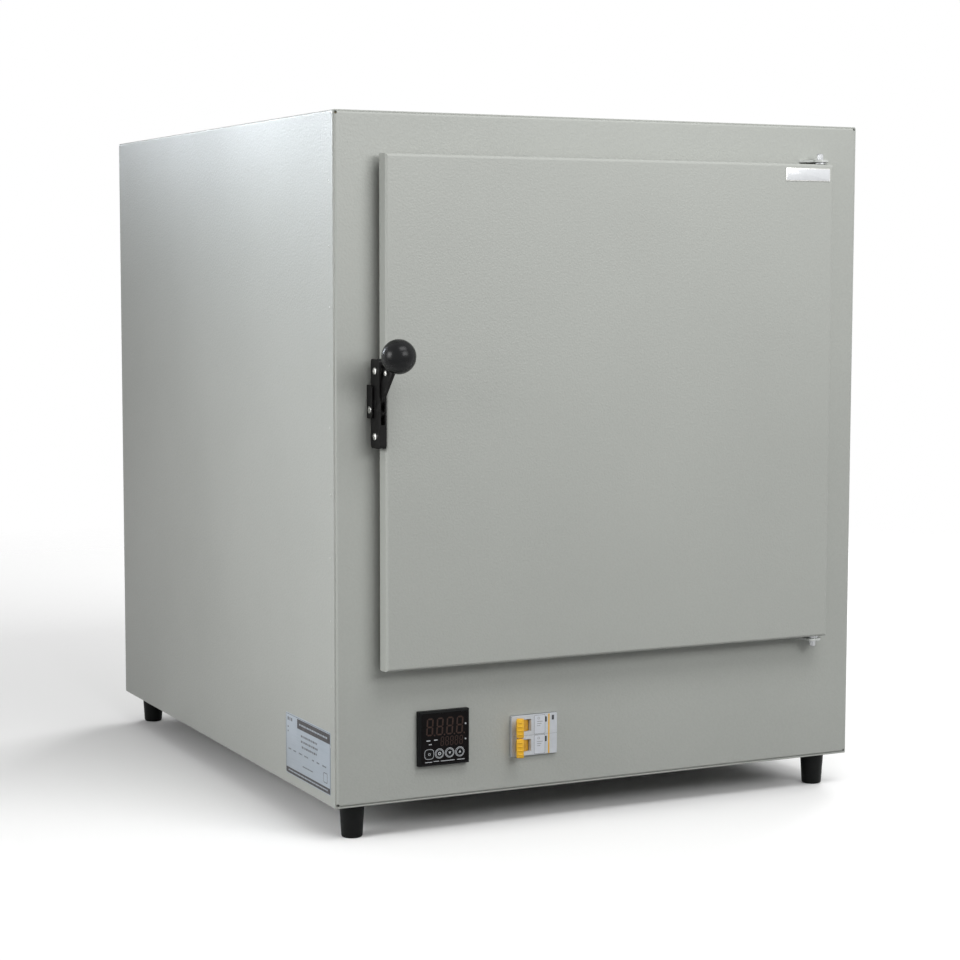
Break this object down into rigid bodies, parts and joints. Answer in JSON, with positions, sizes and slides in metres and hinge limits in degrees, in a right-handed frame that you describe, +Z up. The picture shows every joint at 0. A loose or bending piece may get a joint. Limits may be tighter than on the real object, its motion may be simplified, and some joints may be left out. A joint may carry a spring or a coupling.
{
  "type": "drying cabinet",
  "caption": "Bench drying cabinet: insulated heated chamber with shelves behind a hinged front door that a lever latch holds, over a control strip with a temperature controller and a breaker.",
  "frame": {"origin": "on the surface that the feet stand on, under the centre of the whole object's box", "axes": "+X to the right seen from the front, +Y from the front to the rear, +Z up"},
  "size_m": [0.525, 0.6908, 0.621],
  "materials": {
    "cabinet_paint": "satin",
    "stainless": "satin",
    "chrome_wire": "gloss",
    "zinc_steel": "satin",
    "bright_screw": "gloss",
    "black_steel": "satin",
    "black_knob": "gloss",
    "foot_rubber": "matte",
    "mineral_wool": "matte",
    "heater_sheath": "matte",
    "heater_ceramic": "matte",
    "bush_brass": "satin",
    "silicone": "matte",
    "black_plastic": "matte",
    "window_plastic": "gloss",
    "breaker_plastic": "satin",
    "toggle_plastic": "satin",
    "sink_aluminium": "satin"
  },
  "bodies": {
    "cabinet": {"outer_shell": "cabinet_paint", "front_panel": "cabinet_paint", "rear_panel": "cabinet_paint", "base_pan": "cabinet_paint", "feet": "foot_rubber", "chamber_liner": "stainless", "divider": "zinc_steel", "inner_back": "zinc_steel", "wool_left": "mineral_wool", "wool_right": "mineral_wool", "wool_top": "mineral_wool", "wool_bottom": "mineral_wool", "wool_rear": "mineral_wool", "heater_left": "heater_sheath", "heater_right": "heater_sheath", "heater_supports": "stainless", "heater_insulators": "heater_ceramic", "guard_left": "stainless", "guard_right": "stainless", "shelf_runners": "stainless", "thermocouple": "heater_sheath", "vent_tube": "stainless", "vent_pivot": "zinc_steel", "hinge_lugs": "cabinet_paint", "hinge_bolts": "zinc_steel", "keeper": "black_steel", "keeper_pin": "zinc_steel", "controller_case": "black_plastic", "controller_window": "window_plastic", "controller_clamp": "black_plastic", "breaker_case": "breaker_plastic", "breaker_rail": "zinc_steel", "terminal_block": "breaker_plastic", "relay": "breaker_plastic", "heat_sink": "sink_aluminium", "cable_gland": "black_plastic", "earth_stud": "zinc_steel"},
    "door": {"door_skin": "cabinet_paint", "door_liner": "stainless", "door_wool": "mineral_wool", "door_gasket": "silicone", "hinge_bushes": "bush_brass", "latch_bracket": "black_steel", "bracket_screws": "bright_screw", "lever_rivet": "black_steel"},
    "lever": {"latch_lever": "black_steel", "ball_knob": "black_knob"},
    "key_1": {"key_1": "black_plastic"},
    "key_2": {"key_2": "black_plastic"},
    "key_3": {"key_3": "black_plastic"},
    "key_4": {"key_4": "black_plastic"},
    "toggles": {"breaker_toggles": "toggle_plastic"},
    "lower_shelf": {"shelf_lower": "chrome_wire"},
    "upper_shelf": {"shelf_upper": "chrome_wire"},
    "flap": {"vent_flap": "stainless"}
  },
  "joints": [
    {"name": "door_swing", "type": "hinge", "parent": "cabinet", "child": "door", "pos_m": [0.2135, -0.28917, 0.367], "axis": [0, 0, 1], "range_deg": [0, 170]},
    {"name": "lever_turn", "type": "hinge", "parent": "door", "child": "lever", "pos_m": [-0.22735, -0.28914, 0.3765], "axis": [1, 0, 0], "range_deg": [0, 60]},
    {"name": "key_1_press", "type": "slide", "parent": "cabinet", "child": "key_1", "axis": [0, 1, 0], "range_m": [0, 0.0005], "stiffness_N_per_m": 600, "springref_m": -0.0005},
    {"name": "key_2_press", "type": "slide", "parent": "cabinet", "child": "key_2", "axis": [0, 1, 0], "range_m": [0, 0.0005], "stiffness_N_per_m": 600, "springref_m": -0.0005},
    {"name": "key_3_press", "type": "slide", "parent": "cabinet", "child": "key_3", "axis": [0, 1, 0], "range_m": [0, 0.0005], "stiffness_N_per_m": 600, "springref_m": -0.0005},
    {"name": "key_4_press", "type": "slide", "parent": "cabinet", "child": "key_4", "axis": [0, 1, 0], "range_m": [0, 0.0005], "stiffness_N_per_m": 600, "springref_m": -0.0005},
    {"name": "breaker_switch", "type": "hinge", "parent": "cabinet", "child": "toggles", "pos_m": [-0.0845, -0.27144, 0.079], "axis": [0, 0, 1], "range_deg": [0, 50]},
    {"name": "lower_shelf_slide", "type": "slide", "parent": "cabinet", "child": "lower_shelf", "axis": [0, -1, 0], "range_m": [0, 0.015]},
    {"name": "upper_shelf_slide", "type": "slide", "parent": "cabinet", "child": "upper_shelf", "axis": [0, -1, 0], "range_m": [0, 0.015]},
    {"name": "flap_turn", "type": "hinge", "parent": "cabinet", "child": "flap", "pos_m": [0, 0.32626, 0.5471], "axis": [0, 1, 0], "range_deg": [0, 90]}
  ]
}
